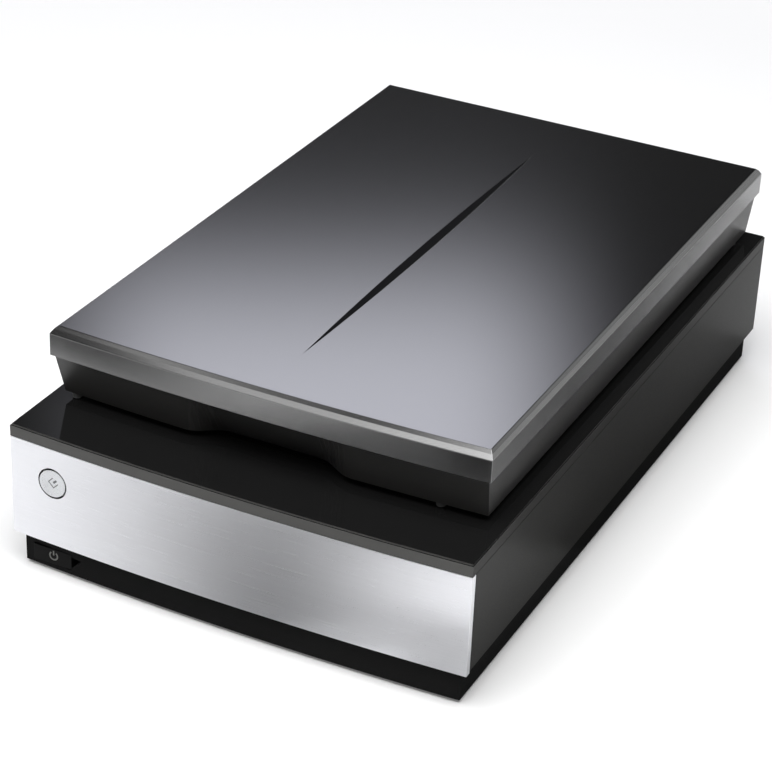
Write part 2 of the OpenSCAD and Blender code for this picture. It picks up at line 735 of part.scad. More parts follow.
// ---- lid ----
module lid_cover() color([0.33, 0.34, 0.37]) difference() {
    union() {
        bowed_slab(lid_w / 2, lid_front, lid_rear, band_z, lid_top - 4.2);
        hull() {
            bowed_slab(lid_w / 2, lid_front, lid_rear, lid_top - 4.3, lid_top - 4.2);
            bowed_slab(lid_w / 2 - 1.6, lid_front + 2.7, lid_rear - 1.6, lid_top - 1.8, lid_top - 1.7);
            bowed_slab(lid_w / 2 - 3.4, lid_front + 5.2, lid_rear - 3.4, lid_top - 0.1, lid_top);
        }
    }
    bowed_slab(lid_w / 2 - lid_wall, lid_front + lid_wall, lid_rear - lid_wall, band_z - 1, lid_in_top);
    translate([0, 0, lid_top - inlay_t]) linear_extrude(5) inlay_shape(fit);
}

// A spindle with pointed ends, each flank a long flat arc
module inlay_shape(grow) {
    steps = 24;
    half_l = inlay_l / 2 + grow;
    half_w = inlay_w / 2 + grow;
    flank = [for (i = [0:steps]) let (t = 2 * i / steps - 1) [half_w * (1 - t * t), half_l * t]];
    translate([0, glass_y]) polygon(concat(flank, [for (i = [steps - 1:-1:1]) [-flank[i][0], flank[i][1]]]));
}

module lid_inlay() color([0.02, 0.02, 0.02])
    translate([0, 0, lid_top - inlay_t]) linear_extrude(inlay_t - 0.25) inlay_shape(0);

// The skirt's front follows the bow of the whole front; the finger scoop is let into it
function scoop_wave(x) = abs(x) >= scoop_w / 2 ? 0 : (1 - cos(180 * scoop_rise(abs(x)))) / 2;
function scoop_rise(x) = min(1, (scoop_w / 2 - x) / scoop_flank);

// Tapered tub: its walls lean in towards the lower edge
module skirt_tub(inset, z0, z1) {
    w0 = lid_w / 2 - skirt_step - skirt_side_lean - inset;
    w1 = lid_w / 2 - skirt_step - inset;
    side = [for (i = [0:4]) w1 - (w1 - scoop_w / 2 - 2) * i / 5];
    flank = [for (i = [0:8]) scoop_w / 2 - scoop_flank * i / 8];
    half = concat(side, flank, [12]);
    xs = concat(half, [for (i = [len(half) - 1:-1:0]) -half[i]]);
    n = len(xs);
    lean_at = (z1 - z0) / (band_z - skirt_z);
    front_top = lid_front + 2.3 + inset;
    low = [for (x = xs)
        [x * w0 / w1, front_top - bowed_by(x) + (skirt_lean + scoop_d * scoop_wave(x)) * lean_at, z0]];
    high = [for (x = xs) [x, front_top - bowed_by(x), z1]];
    rear_low = lid_rear - 2.3 - rear_lean * lean_at - inset;
    rear_high = lid_rear - 2.3 - inset;
    bottom = concat(low, [[-w0, rear_low, z0], [w0, rear_low, z0]]);
    top = concat(high, [[-w1, rear_high, z1], [w1, rear_high, z1]]);
    m = n + 2;
    polyhedron(
        points = concat(bottom, top),
        faces = concat(
            [[for (i = [m - 1:-1:0]) i]],
            [[for (i = [0:m - 1]) m + i]],
            [for (i = [0:m - 1]) [i, (i + 1) % m, m + i]],
            [for (i = [0:m - 1]) [(i + 1) % m, m + (i + 1) % m, m + i]]
        )
    );
}

module lid_lower_case() color([0.08, 0.08, 0.085]) difference() {
    skirt_tub(0, skirt_z, band_z);
    skirt_tub(lid_wall, skirt_z + lid_floor, band_z + 0.1);
    block(window_w - 10, window_l - 10, 20, 0, window_y, skirt_z - 5);
    // the scoop's edge rises in a shallow arch
    rod_y(arch_r, 30, 0, lid_front - 1, skirt_z + arch_rise - arch_r);
    // slots for the hinge cheeks
    both_sides() for (x = [hinge_x - post_w / 2 - gap - cheek_t, hinge_x + post_w / 2 + gap])
        slab(x - gap, x + cheek_t + gap, lid_rear - 13, lid_rear + 1, axis_z - 3 - gap, axis_z + 14 + gap);
    both_sides() slab(hinge_x - post_w / 2 - 3, hinge_x + post_w / 2 + 3, lid_rear - 3, lid_rear + 1,
        skirt_z - 1, axis_z + knuckle_r + 3);
    post(7 + gap, 20, lid_lock_x, lid_lock_y, skirt_z - 1);
}

module lid_window() color([0.9, 0.92, 0.92, 0.5])
    block(window_w, window_l, 3, 0, window_y, skirt_z + lid_floor);

module document_mat() color([0.92, 0.92, 0.9])
    block(window_w + 14, window_l + 22, lid_gap - rest_gap, 0, window_y, base_h + rest_gap);

module lid_bumpers() color([0.5, 0.5, 0.5])
    for (p = [[10, bumper_front], [lid_w - 36, bumper_front], [9, bumper_rear], [lid_w - 9, bumper_rear]])
        post(bumper_r, lid_gap - rest_gap, p[0] - lid_w / 2, p[1], base_h + rest_gap);

module lamp_carriage() color([0.15, 0.15, 0.16]) difference() {
    union() {
        block(lamp_w, lamp_l, lamp_h, 0, lamp_y, lamp_z);
        block(2 * lamp_rod_x + 14, 16, lamp_h, 0, lamp_y, lamp_z);
        // clip that reaches up to the belt
        slab(lamp_belt_x - lamp_pulley_r - 4, lamp_belt_x - lamp_pulley_r + 3, lamp_y - 7, lamp_y + 7,
            lamp_z + 4, lamp_belt_z + belt_w + 2);
    }
    block(lamp_w - 6, lamp_l - 8, 8, 0, lamp_y, lamp_z - 1);
    for (s = [-1, 1]) rod_y(lamp_rod_r + run, 60, s * lamp_rod_x, lamp_y - 30, lamp_rod_z);
    slab(lamp_belt_x - lamp_pulley_r - belt_t - gap, lamp_belt_x - lamp_pulley_r + gap, lamp_y - 20,
        lamp_y + 20,
        lamp_belt_z - gap, lamp_belt_z + belt_w + gap);
}

module lid_lamp() color([0.97, 0.97, 0.9])
    block(lamp_w - 12, 14, 4, 0, lamp_y, lamp_z + 3);

module lamp_rods() color([0.8, 0.8, 0.82]) for (s = [-1, 1]) {
    y0 = lamp_y - lamp_l / 2 - lamp_travel - lamp_rod_end;
    y1 = lamp_y + lamp_l / 2 + lamp_rod_end;
    rod_y(lamp_rod_r, y1 - y0, s * lamp_rod_x, y0, lamp_rod_z);
    for (y = [y0, y1 - lamp_clamp_t])
        slab(s * lamp_rod_x - 6, s * lamp_rod_x + 6, y, y + lamp_clamp_t, skirt_z + lid_floor, lamp_rod_z + 5);
}

module lamp_belt() color([0.08, 0.08, 0.08])
    belt_loop(lamp_belt_x, lamp_idler_y, lamp_pulley_y, lamp_belt_z, lamp_pulley_r);

module lamp_drive_pulley() color([0.75, 0.7, 0.6])
    flanged_pulley(lamp_belt_x, lamp_pulley_y, lamp_belt_z, lamp_pulley_r, 2 + run);

module lamp_idler_pulley() color([0.75, 0.7, 0.6])
    flanged_pulley(lamp_belt_x, lamp_idler_y, lamp_belt_z, lamp_pulley_r, 2 + run);

module lamp_motor() color([0.5, 0.5, 0.52]) {
    post(12, lamp_belt_z - 2 - skirt_z - lid_floor, lamp_belt_x, lamp_pulley_y, skirt_z + lid_floor);
    post(2, belt_w + 4, lamp_belt_x, lamp_pulley_y, lamp_belt_z - 2.5);
    post(4, lamp_belt_z - 2 - skirt_z - lid_floor, lamp_belt_x, lamp_idler_y, skirt_z + lid_floor);
    post(2, belt_w + 4, lamp_belt_x, lamp_idler_y, lamp_belt_z - 2.5);
}

module lid_board() color([0.05, 0.3, 0.15]) {
    on_floor = skirt_z + lid_floor;
    block(lid_board_w, 22, board_t, lid_board_x, lid_board_y, on_floor + 3);
    block(18, 12, 3.6, lid_board_x - 9, lid_board_y - 1, on_floor + 4.4);
    for (s = [-1, 1]) post(3, 3.2, lid_board_x + s * (lid_board_w / 2 - 4), lid_board_y, on_floor);
}

lid_lock_x = 20;
lid_lock_y = lid_rear - 26;
module lid_lock() color([0.85, 0.85, 0.86]) difference() {
    union() {
        post(7, lid_floor + 0.4, lid_lock_x, lid_lock_y, skirt_z + 0.2);
        post(9, 2, lid_lock_x, lid_lock_y, skirt_z + lid_floor + 0.3);
        slab(lid_lock_x - 2, lid_lock_x + 2, lid_lock_y - 12, lid_lock_y, skirt_z + lid_floor + 1.5,
            skirt_z + lid_floor + 5);
    }
    block(10, 1.8, 1.2, lid_lock_x, lid_lock_y, skirt_z);
}

module lid_screws() color([0.6, 0.6, 0.62]) for (x = [-1, 1]) for (y = [lid_front + 22, lid_rear - 24])
    post(2.5, 1.5, x * 134, y, skirt_z + lid_floor);

lower_case();
side_case();
front_panel();
top_cover();
platen_glass();
platen_bezel();
rubber_feet();
case_screws();
start_button();
power_button();
button_board();
power_switch();
guide_rod();
rod_clamps();
slide_rail();
scan_carriage();
carriage_cover();
carriage_bushes();
glide_pad();
lamp_bars();
scan_mirrors();
lens_block();
scan_lenses();
sensor_board();
belt_clip();
drive_belt();
drive_pulley();
reduction_gear();
motor_pinion();
stepper_motor();
motor_bracket();
idler_pulley();
idler_bracket();
tension_spring();
main_board();
power_inlet();
data_port();
lid_connector();
transport_lock();
hinge_housings();
hinge_posts();
hinge_pins();
hinge_brackets();
hinge_covers();
lid_cover();
lid_inlay();
lid_lower_case();
lid_window();
document_mat();
lid_bumpers();
lamp_carriage();
lid_lamp();
lamp_rods();
lamp_belt();
lamp_drive_pulley();
lamp_idler_pulley();
lamp_motor();
lid_board();
lid_lock();
lid_screws();
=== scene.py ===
"""Looks of a flatbed film and photo scanner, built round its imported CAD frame.

Metres, +Z up, the front faces -Y. The CAD nodes stay where they are; the pieces that show
from outside get finished shells with rounded edges, and every node gets a material.
"""

import json
import math

import bmesh
import bpy
from mathutils import Matrix, Vector


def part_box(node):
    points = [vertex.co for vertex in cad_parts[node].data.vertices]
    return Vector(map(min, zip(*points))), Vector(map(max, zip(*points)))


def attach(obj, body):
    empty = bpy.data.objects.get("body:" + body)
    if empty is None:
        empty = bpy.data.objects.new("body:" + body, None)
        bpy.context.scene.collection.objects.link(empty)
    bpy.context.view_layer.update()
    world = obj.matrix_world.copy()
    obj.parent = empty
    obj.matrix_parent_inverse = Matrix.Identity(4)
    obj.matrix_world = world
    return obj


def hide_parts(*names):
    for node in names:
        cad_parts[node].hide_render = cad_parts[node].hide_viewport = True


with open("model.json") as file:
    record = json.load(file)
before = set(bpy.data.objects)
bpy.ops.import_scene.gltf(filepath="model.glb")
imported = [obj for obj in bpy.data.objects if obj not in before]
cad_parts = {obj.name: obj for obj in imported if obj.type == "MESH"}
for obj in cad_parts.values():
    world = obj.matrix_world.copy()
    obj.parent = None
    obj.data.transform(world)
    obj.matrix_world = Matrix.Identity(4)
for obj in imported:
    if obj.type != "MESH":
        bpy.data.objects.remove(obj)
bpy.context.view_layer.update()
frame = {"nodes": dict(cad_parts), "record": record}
nodes = frame["nodes"]
parts = frame["record"]["subparts"]
held_by = frame["record"]["behaviour"]["bodies"]
slot_of = {part["node"]: part["material_slot"] for part in parts}
body_of = {node: body for body, held in held_by.items() for node in held}

MM = 0.001
FRONT_BOW = 4.8 * MM  # how far the front stands out in its middle


# ---------------------------------------------------------------- node trees

class NodeTree:
    """A tree of shader nodes being put together."""

    def __init__(self, tree):
        self.tree = tree

    def node(self, kind, **values):
        made = self.tree.nodes.new(kind)
        for key, value in values.items():
            setattr(made, key, value)
        return made

    def join(self, source, target):
        self.tree.links.new(source, target)

    def math(self, operation, *terms):
        """Sum, product or the like of outputs and plain numbers."""
        made = self.node("ShaderNodeMath", operation=operation)
        for socket, term in zip(made.inputs, terms):
            if isinstance(term, (int, float)):
                socket.default_value = term
            else:
                self.join(term, socket)
        return made.outputs["Value"]

    def spread(self, source, begin, end, low, high, **values):
        """Maps begin to end of the source onto low to high."""
        ranged = self.node("ShaderNodeMapRange", **values)
        for name, value in zip(("From Min", "From Max", "To Min", "To Max"), (begin, end, low, high)):
            ranged.inputs[name].default_value = value
        self.join(source, ranged.inputs["Value"])
        return ranged.outputs["Result"]

    def fade(self, source, begin, end, low=0.0, high=1.0):
        """The same along a soft curve."""
        return self.spread(source, begin, end, low, high, interpolation_type="SMOOTHSTEP")

    def split(self, source):
        """The X, Y and Z outputs of a vector."""
        made = self.node("ShaderNodeSeparateXYZ")
        self.join(source, made.inputs["Vector"])
        return made.outputs


class Finish(NodeTree):
    """A material being put together: one shader and the nodes that feed it."""

    def __init__(self, name, color, roughness, metallic=0.0, ior=1.5, shine=0.5):
        self.material = bpy.data.materials.new(name)
        self.material.use_nodes = True
        super().__init__(self.material.node_tree)
        self.shader = self.tree.nodes["Principled BSDF"]
        self.color = color
        self.set("Base Color", (*color, 1))
        self.set("Roughness", roughness)
        self.set("Metallic", metallic)
        self.set("IOR", ior)
        self.set("Specular IOR Level", shine)

    def set(self, name, value):
        self.shader.inputs[name].default_value = value

    def noise(self, scale, stretch=(1, 1, 1), detail=3.0, rough=0.5):
        """A noise pattern on the object's own coordinates, stretched."""
        coords = self.node("ShaderNodeTexCoord")
        mapping = self.node("ShaderNodeMapping")
        mapping.inputs["Scale"].default_value = stretch
        self.join(coords.outputs["Object"], mapping.inputs["Vector"])
        texture = self.node("ShaderNodeTexNoise")
        texture.inputs["Scale"].default_value = scale
        texture.inputs["Detail"].default_value = detail
        texture.inputs["Roughness"].default_value = rough
        self.join(mapping.outputs["Vector"], texture.inputs["Vector"])
        return texture.outputs["Fac"]

    def vary(self, pattern, low, high):
        """Maps the middle of a noise pattern, where nearly all of it lies, onto low to high."""
        return self.spread(pattern, 0.3, 0.7, low, high)

    def vary_color(self, pattern, low, high):
        """Base colour times low to high, by the pattern."""
        mix = self.node("ShaderNodeMix", data_type="RGBA")
        mix.inputs["A"].default_value = (*[c * low for c in self.color], 1)
        mix.inputs["B"].default_value = (*[min(1, c * high) for c in self.color], 1)
        self.join(self.vary(pattern, 0, 1), mix.inputs["Factor"])
        self.join(mix.outputs["Result"], self.shader.inputs["Base Color"])

    def vary_roughness(self, pattern, low, high):
        self.join(self.vary(pattern, low, high), self.shader.inputs["Roughness"])

    def bump(self, pattern, height, strength):
        raised = self.node("ShaderNodeBump")
        raised.inputs["Strength"].default_value = strength
        raised.inputs["Distance"].default_value = height
        self.join(pattern, raised.inputs["Height"])
        self.join(raised.outputs["Normal"], self.shader.inputs["Normal"])

    def show_white(self, near, far, near_reach, far_reach, mirrored=1.0):
        """Light of its own that the camera and mirrors see, from near to far between two
        distances from the object, so that a white sheet looks white up to the horizon."""
        coords = self.node("ShaderNodeTexCoord")
        distance = self.node("ShaderNodeVectorMath", operation="LENGTH")
        self.join(coords.outputs["Object"], distance.inputs[0])
        rise = self.fade(distance.outputs["Value"], near_reach, far_reach, near, far)
        path = self.node("ShaderNodeLightPath").outputs
        in_mirrors = self.math("MULTIPLY", path["Is Glossy Ray"], mirrored)
        seen = self.math("MAXIMUM", path["Is Camera Ray"], in_mirrors)
        seen = self.math("MAXIMUM", seen, path["Is Transmission Ray"])
        self.set("Emission Color", (1, 1, 1, 1))
        self.join(self.math("MULTIPLY", seen, rise), self.shader.inputs["Emission Strength"])


# ---------------------------------------------------------------- materials

def moulded(name, color, roughness, grain=1800, depth=0.00002, shine=0.5, mottle=0.03):
    """Moulded plastic with a fine texture."""
    f = Finish(name, color, roughness, shine=shine)
    fine = f.noise(grain, detail=2)
    f.vary_color(f.noise(35), 1 - mottle, 1 + mottle)
    f.vary_roughness(fine, roughness - 0.05, roughness + 0.07)
    f.bump(fine, depth, 0.5)
    return f.material


def metal(name, color, roughness, stretch=(1, 1, 1), depth=0.00001, mottle=0.07):
    """Metal with fine marks along one direction."""
    f = Finish(name, color, roughness, metallic=1.0)
    marks = f.noise(900, stretch)
    f.vary_color(marks, 1 - mottle, 1 + mottle)
    f.vary_roughness(marks, roughness - 0.06, roughness + 0.08)
    f.bump(marks, depth, 0.4)
    return f.material


def clear(name, color, roughness, transmission, ior=1.46):
    """Glass or clear plastic."""
    f = Finish(name, color, roughness, ior=ior)
    f.set("Transmission Weight", transmission)
    f.vary_roughness(f.noise(80), roughness, roughness + 0.02)
    return f.material


def brushed_panel():
    """The front panel's silver, brushed from side to side."""
    f = Finish("brushed_panel", (0.83, 0.835, 0.865), 0.3, metallic=1.0)
    f.set("Anisotropic", 0.75)
    long_grain = f.noise(260, (0.02, 1, 6), detail=4, rough=0.7)
    fine_grain = f.noise(900, (0.015, 1, 5), detail=3, rough=0.65)
    f.vary_color(long_grain, 0.98, 1.02)
    f.vary_roughness(fine_grain, 0.27, 0.34)
    f.bump(fine_grain, 0.000007, 0.25)
    return f.material


def satin_metallic():
    """The lid's paint: dark grey with fine metallic flakes."""
    f = Finish("satin_metallic", (0.205, 0.205, 0.205), 0.15, metallic=1.0)
    flakes = f.noise(2600, detail=2, rough=0.7)
    f.vary_color(flakes, 0.86, 1.16)
    f.vary_roughness(flakes, 0.14, 0.16)
    f.bump(flakes, 0.000012, 0.3)
    return f.material


def gloss_black():
    """The deck's polished black."""
    f = Finish("gloss_black", (0.009, 0.009, 0.009), 0.05, shine=0.12)
    f.vary_roughness(f.noise(25), 0.035, 0.06)
    f.bump(f.noise(40, detail=1), 0.000004, 0.2)
    return f.material


def board_green():
    """A circuit board's lacquer over its tracks."""
    f = Finish("board_green", (0.012, 0.12, 0.05), 0.35)
    tracks = f.noise(240, detail=1)
    f.vary_color(tracks, 0.75, 1.3)
    f.bump(tracks, 0.00002, 0.5)
    return f.material


SMOOTH = 0.000012  # depth of the texture on the outer plastics

MOULDED = {
    "base_black": dict(color=(0.011, 0.011, 0.011), roughness=0.5, shine=0.015),
    "case_grey": dict(color=(0.016, 0.0157, 0.0145), roughness=0.33, depth=SMOOTH, shine=0.08),
    "switch_black": dict(color=(0.008, 0.008, 0.008), roughness=0.4, shine=0.06),
    "bezel_grey": dict(color=(0.03, 0.03, 0.031), roughness=0.5),
    "foot_rubber": dict(color=(0.015, 0.015, 0.015), roughness=0.8, grain=900),
    "carriage_black": dict(color=(0.022, 0.022, 0.023), roughness=0.55),
    "cover_grey": dict(color=(0.05, 0.05, 0.052), roughness=0.5),
    "nylon_white": dict(color=(0.75, 0.75, 0.72), roughness=0.45),
    "gear_plastic": dict(color=(0.78, 0.75, 0.66), roughness=0.4),
    "belt_rubber": dict(color=(0.018, 0.018, 0.018), roughness=0.7),
    "switch_body": dict(color=(0.03, 0.03, 0.032), roughness=0.5),
    "jack_black": dict(color=(0.015, 0.015, 0.015), roughness=0.45),
    "lock_white": dict(color=(0.72, 0.72, 0.72), roughness=0.45),
    "inlay_black": dict(color=(0.003, 0.003, 0.0035), roughness=0.5, shine=0.03),
    "lid_dark": dict(color=(0.024, 0.0235, 0.0225), roughness=0.34, depth=SMOOTH),
    "mat_white": dict(color=(0.86, 0.86, 0.84), roughness=0.7, grain=1100, mottle=0.004),
    "lip_grey": dict(color=(0.085, 0.084, 0.081), roughness=0.4, depth=SMOOTH, shine=0.2),
    # painted highlight: a lighter grey for the lip's faces that look up along its top edge
    "lip_edge": dict(color=(0.17, 0.168, 0.165), roughness=0.35, depth=SMOOTH, shine=0.3),
    "mark_grey": dict(color=(0.14, 0.145, 0.15), roughness=0.4),
    "mark_white": dict(color=(0.16, 0.16, 0.15), roughness=0.5, shine=0.2),
    "bumper_rubber": dict(color=(0.11, 0.11, 0.11), roughness=0.6),
}
METALS = {
    "button_silver": dict(color=(0.70, 0.71, 0.73), roughness=0.3, depth=0.000002, mottle=0.015),
    "screw_steel": dict(color=(0.55, 0.55, 0.57), roughness=0.35),
    "shaft_steel": dict(color=(0.75, 0.75, 0.77), roughness=0.15, stretch=(1, 0.05, 1)),
    "sheet_steel": dict(color=(0.6, 0.61, 0.63), roughness=0.35),
    "bush_bronze": dict(color=(0.62, 0.42, 0.2), roughness=0.4),
    "pinion_brass": dict(color=(0.78, 0.6, 0.28), roughness=0.3),
    "pulley_metal": dict(color=(0.68, 0.66, 0.6), roughness=0.32),
    "motor_steel": dict(color=(0.5, 0.5, 0.52), roughness=0.4),
    "port_metal": dict(color=(0.7, 0.7, 0.72), roughness=0.25),
    "mirror_glass": dict(color=(0.88, 0.9, 0.91), roughness=0.04),
    "hinge_metal": dict(color=(0.42, 0.43, 0.45), roughness=0.42),
}
CLEAR = {
    "platen_glass": dict(color=(0.93, 0.97, 0.96), roughness=0.01, transmission=1.0, ior=1.5),
    "lens_glass": dict(color=(0.6, 0.66, 0.85), roughness=0.02, transmission=0.9),
    "lamp_white": dict(color=(0.95, 0.95, 0.9), roughness=0.4, transmission=0.3),
    "window_white": dict(color=(0.92, 0.94, 0.94), roughness=0.35, transmission=0.5),
}

materials = {"gloss_black": gloss_black(), "panel_silver": brushed_panel(),
             "board_green": board_green(), "lid_metallic": satin_metallic()}
for make_finish, looks in ((moulded, MOULDED), (metal, METALS), (clear, CLEAR)):
    for slot_name, look in looks.items():
        materials[slot_name] = make_finish(slot_name, **look)

for part in parts:
    shown = nodes[part["node"]].data.materials
    shown.clear()
    shown.append(materials[part["material_slot"]])


# ---------------------------------------------------------------- pieces

MERGE_REACH = 0.002 * MM        # points nearer than this are one
FLAT_SEAM = math.radians(0.05)  # seams between faces that are flatter than this go
CORNER = math.radians(32)       # edges sharper than this are rounded over


def put_in_scene(name, data):
    thing = bpy.data.objects.new(name, data)
    bpy.context.scene.collection.objects.link(thing)
    return thing


def mesh_object(name, bm, *finishes):
    """An object from a bmesh and its materials."""
    mesh = bpy.data.meshes.new(name)
    bm.to_mesh(mesh)
    bm.free()
    for finish in finishes:
        mesh.materials.append(finish)
    return put_in_scene(name, mesh)


def new_piece(name, bm, slot, body, *stands_for):
    """A finished mesh becomes a piece that rides on a body."""
    bmesh.ops.recalc_face_normals(bm, faces=bm.faces)
    piece = mesh_object(name, bm, materials[slot])
    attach(piece, body)
    if stands_for:
        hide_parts(*stands_for)
    return piece


def smooth_faces(bm, sharp):
    """Rounds the shading, but keeps a crease where faces meet at more than the angle."""
    for face in bm.faces:
        face.smooth = True
    for edge in bm.edges:
        edge.smooth = len(edge.link_faces) == 2 and edge.calc_face_angle() < math.radians(sharp)


def rounded(name, width, sharp=40):
    """A CAD node with its edges rounded over, which stands for it in the picture."""
    bm = bmesh.new()
    bm.from_mesh(nodes[name].data)
    bmesh.ops.remove_doubles(bm, verts=bm.verts, dist=MERGE_REACH)
    bmesh.ops.dissolve_limit(bm, angle_limit=FLAT_SEAM, verts=bm.verts, edges=bm.edges)
    corners = [e for e in bm.edges if len(e.link_faces) == 2 and e.calc_face_angle() > CORNER]
    bmesh.ops.bevel(bm, geom=corners, offset=width * MM, offset_type="OFFSET", segments=2,
                    profile=0.5, affect="EDGES", clamp_overlap=True, material=-1)
    bmesh.ops.remove_doubles(bm, verts=bm.verts, dist=MERGE_REACH)
    smooth_faces(bm, sharp)
    piece = new_piece(name + "_finished", bm, slot_of[name], body_of[name], name)
    piece.modifiers.new("even_shading", "WEIGHTED_NORMAL").keep_sharp = True
    return piece


def add_finish(piece, slot):
    """Gives a piece one more material, and its number there."""
    piece.data.materials.append(materials[slot])
    return len(piece.data.materials) - 1


def finish_lip(piece):
    """The deck's lip is grey in front, with a painted highlight along its top: its faces there that look up
    get a lighter grey. It is as dark as the case at the sides and behind."""
    in_front, edge, elsewhere = [add_finish(piece, slot) for slot in ("lip_grey", "lip_edge", "case_grey")]
    points = [v.co for v in piece.data.vertices]
    depth = 1.5 * MM
    top = max(p.z for p in points) - 0.05 * MM
    side = max(abs(p.x) for p in points) - depth
    rear = max(p.y for p in points) - depth
    front = min(p.y for p in points) + FRONT_BOW + depth
    for face in piece.data.polygons:
        c = face.center
        ahead = c.y < front and face.normal.y < -0.3
        outside = ahead or abs(c.x) > side or c.y > rear
        if outside and c.z < top:
            # faces that look up take the lighter grey, a painted highlight
            gets_painted_highlight = face.normal.z > 0.35
            face.material_index = edge if gets_painted_highlight else in_front if ahead else elsewhere


# how wide each node's edges are rounded, in millimetres
ROUNDED_EDGES = {
    "top_cover": 0.9, "side_case": 0.4, "front_panel": 0.25, "lower_case": 0.6,
    "power_button": 0.6, "hinge_housings": 0.8, "hinge_covers": 0.8, "rubber_feet": 0.5,
    "platen_bezel": 0.2, "document_mat": 1.0, "hinge_posts": 0.5, "hinge_brackets": 0.5,
    "lid_bumpers": 0.4, "transport_lock": 0.3, "lid_lock": 0.3, "power_inlet": 0.3,
    "data_port": 0.25, "lid_connector": 0.25, "scan_carriage": 0.8, "carriage_cover": 0.3,
    "lamp_carriage": 0.6, "motor_bracket": 0.3,
}
finished = {node: rounded(node, width) for node, width in ROUNDED_EDGES.items()}
# the lid's chamfers meet in crisp lines, and its leaning skirt is flat up to its edges
rounded("lid_cover", 0.25, sharp=6)
rounded("lid_lower_case", 0.7, sharp=12)
finish_lip(finished["top_cover"])


# ---------------------------------------------------------------- buttons

BUTTON_RADIUS = 9.3   # of the start button's face, in millimetres
FLANGE_RADIUS = 11.7  # of the flange that holds it behind the panel
STEM_RADIUS = 2.5     # of the stem that reaches its switch
DISH_DEPTH = 0.5      # of its shallow dish, in millimetres
DISH_SHARE = 0.93     # of its radius that the dish takes
DISH_STEPS = 6


def revolve_y(profile, center):
    """Turns a profile of (radius, y) points in millimetres round a line along Y."""
    bm = bmesh.new()
    points = [bm.verts.new((center.x + r * MM, y * MM, center.z)) for r, y in profile]
    edges = [bm.edges.new(ends) for ends in zip(points, points[1:])]
    bmesh.ops.spin(bm, geom=points + edges, cent=center, axis=(0, 1, 0), angle=math.tau, steps=96,
                   use_merge=True, use_duplicate=False)
    bmesh.ops.remove_doubles(bm, verts=bm.verts, dist=MERGE_REACH)
    return bm


def paint_ring_shade(piece, center, reach):
    """Painted shade: the walls that face each other round the start button are painted dark in place of the
    shade in the gap, so its ring shows.
    """
    dark = add_finish(piece, "switch_black")
    for face in piece.data.polygons:
        c = face.center
        near = math.hypot(c.x - center.x, c.z - center.z) < reach * MM
        if near and abs(face.normal.y) < 0.6:
            face.material_index = dark


def start_button():
    """Round silver button with a shallow dish, let into the panel, with painted shade on the walls of the
    ring round it.
    """
    low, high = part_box("start_button")
    center = Vector(((low.x + high.x) / 2, 0, (low.z + high.z) / 2))
    front, back = low.y / MM, high.y / MM
    shares = [i / DISH_STEPS for i in range(DISH_STEPS + 1)]
    dish = [(BUTTON_RADIUS * DISH_SHARE * s, front + DISH_DEPTH * (1 - s ** 2)) for s in shares]
    rim = [(BUTTON_RADIUS - 0.12, front + 0.08), (BUTTON_RADIUS, front + 0.25)]
    body = [(BUTTON_RADIUS, front + 5.9), (FLANGE_RADIUS, front + 5.9), (FLANGE_RADIUS, front + 7.5),
            (STEM_RADIUS, front + 7.5), (STEM_RADIUS, back), (0, back)]
    bm = revolve_y(dish + rim + body, center)
    smooth_faces(bm, 35)
    button = new_piece("start_button_finished", bm, "button_silver", "start_button", "start_button")
    # painted shade in the ring: the button's walls and the panel's walls there are painted dark
    paint_ring_shade(button, center, BUTTON_RADIUS + 0.1)
    paint_ring_shade(finished["front_panel"], center, BUTTON_RADIUS + 2)
    return center, low.y


def stroke(points, width):
    """Outline of a line of even width along (x, z) points."""
    left, right = [], []
    for i, here in enumerate(points):
        before = points[max(i - 1, 0)]
        after = points[min(i + 1, len(points) - 1)]
        along = (after - before).normalized()
        into = (here - before).normalized() if i else along
        across = Vector((-along.y, along.x)) * (width / 2 / max(0.3, abs(along.dot(into))))
        left.append(here + across)
        right.append(here - across)
    return left + right[::-1]


def plates(outlines, front, thickness):
    """Thin plates with outlines of (x, z) points, their front faces at one depth."""
    bm = bmesh.new()
    for outline in outlines:
        face = bm.faces.new([bm.verts.new((x, front, z)) for x, z in outline])
        made = bmesh.ops.extrude_face_region(bm, geom=[face])
        moved = [v for v in made["geom"] if isinstance(v, bmesh.types.BMVert)]
        bmesh.ops.translate(bm, verts=moved, vec=(0, thickness, 0))
    return bm


def start_mark(center, front):
    """A square bracket on its corner with a small filled square: a generic start mark."""
    middle = Vector((center.x, center.z)) + Vector((0.6, 0.6)) * MM
    half = 3.5 * MM
    sink = 0.4 * MM  # how far it lies behind the button's front, in its dish

    def around(*shares):
        return [middle + Vector(share) * half for share in shares]

    bracket = around((-0.05, 1.0), (-1.0, 0.02), (-0.02, -1.0), (1.0, 0.0))
    square = around((-0.16, 0.16), (0.52, 0.72), (0.74, 0.4), (0.08, -0.2))
    bm = plates((stroke(bracket, 0.62 * MM), square), front + sink, 0.4 * MM)
    new_piece("start_mark", bm, "mark_grey", "start_button")


def power_symbol():
    """A broken ring with a bar, on the power button."""
    middle = Vector((-127.6, 11.9)) * MM
    radius = 2.75 * MM
    line = 1.0 * MM
    stand_out = 0.06 * MM
    gap = math.radians(38)
    steps = 28
    angles = [gap + (math.tau - 2 * gap) * i / steps for i in range(steps + 1)]
    ring = [middle + Vector((math.sin(a), math.cos(a))) * radius for a in angles]
    bar = [middle + Vector((0, height)) * MM for height in (0.3, 3.7)]
    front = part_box("power_button")[0].y - stand_out
    bm = plates((stroke(ring, line), stroke(bar, line)), front, 0.3 * MM)
    new_piece("power_symbol", bm, "mark_white", "power_button")


start_mark(*start_button())
power_symbol()


# ---------------------------------------------------------------- camera

# It stands where the photograph was taken from
CAMERA_AZIMUTH = math.radians(25.481)
CAMERA_ELEVATION = math.radians(29.231)
CAMERA_ROLL = math.radians(2.589)
CAMERA_DISTANCE = 1.6416
CAMERA_LENS = 115.96
CAMERA_TARGET = Vector((-0.01299, -0.02217, 0.05684))


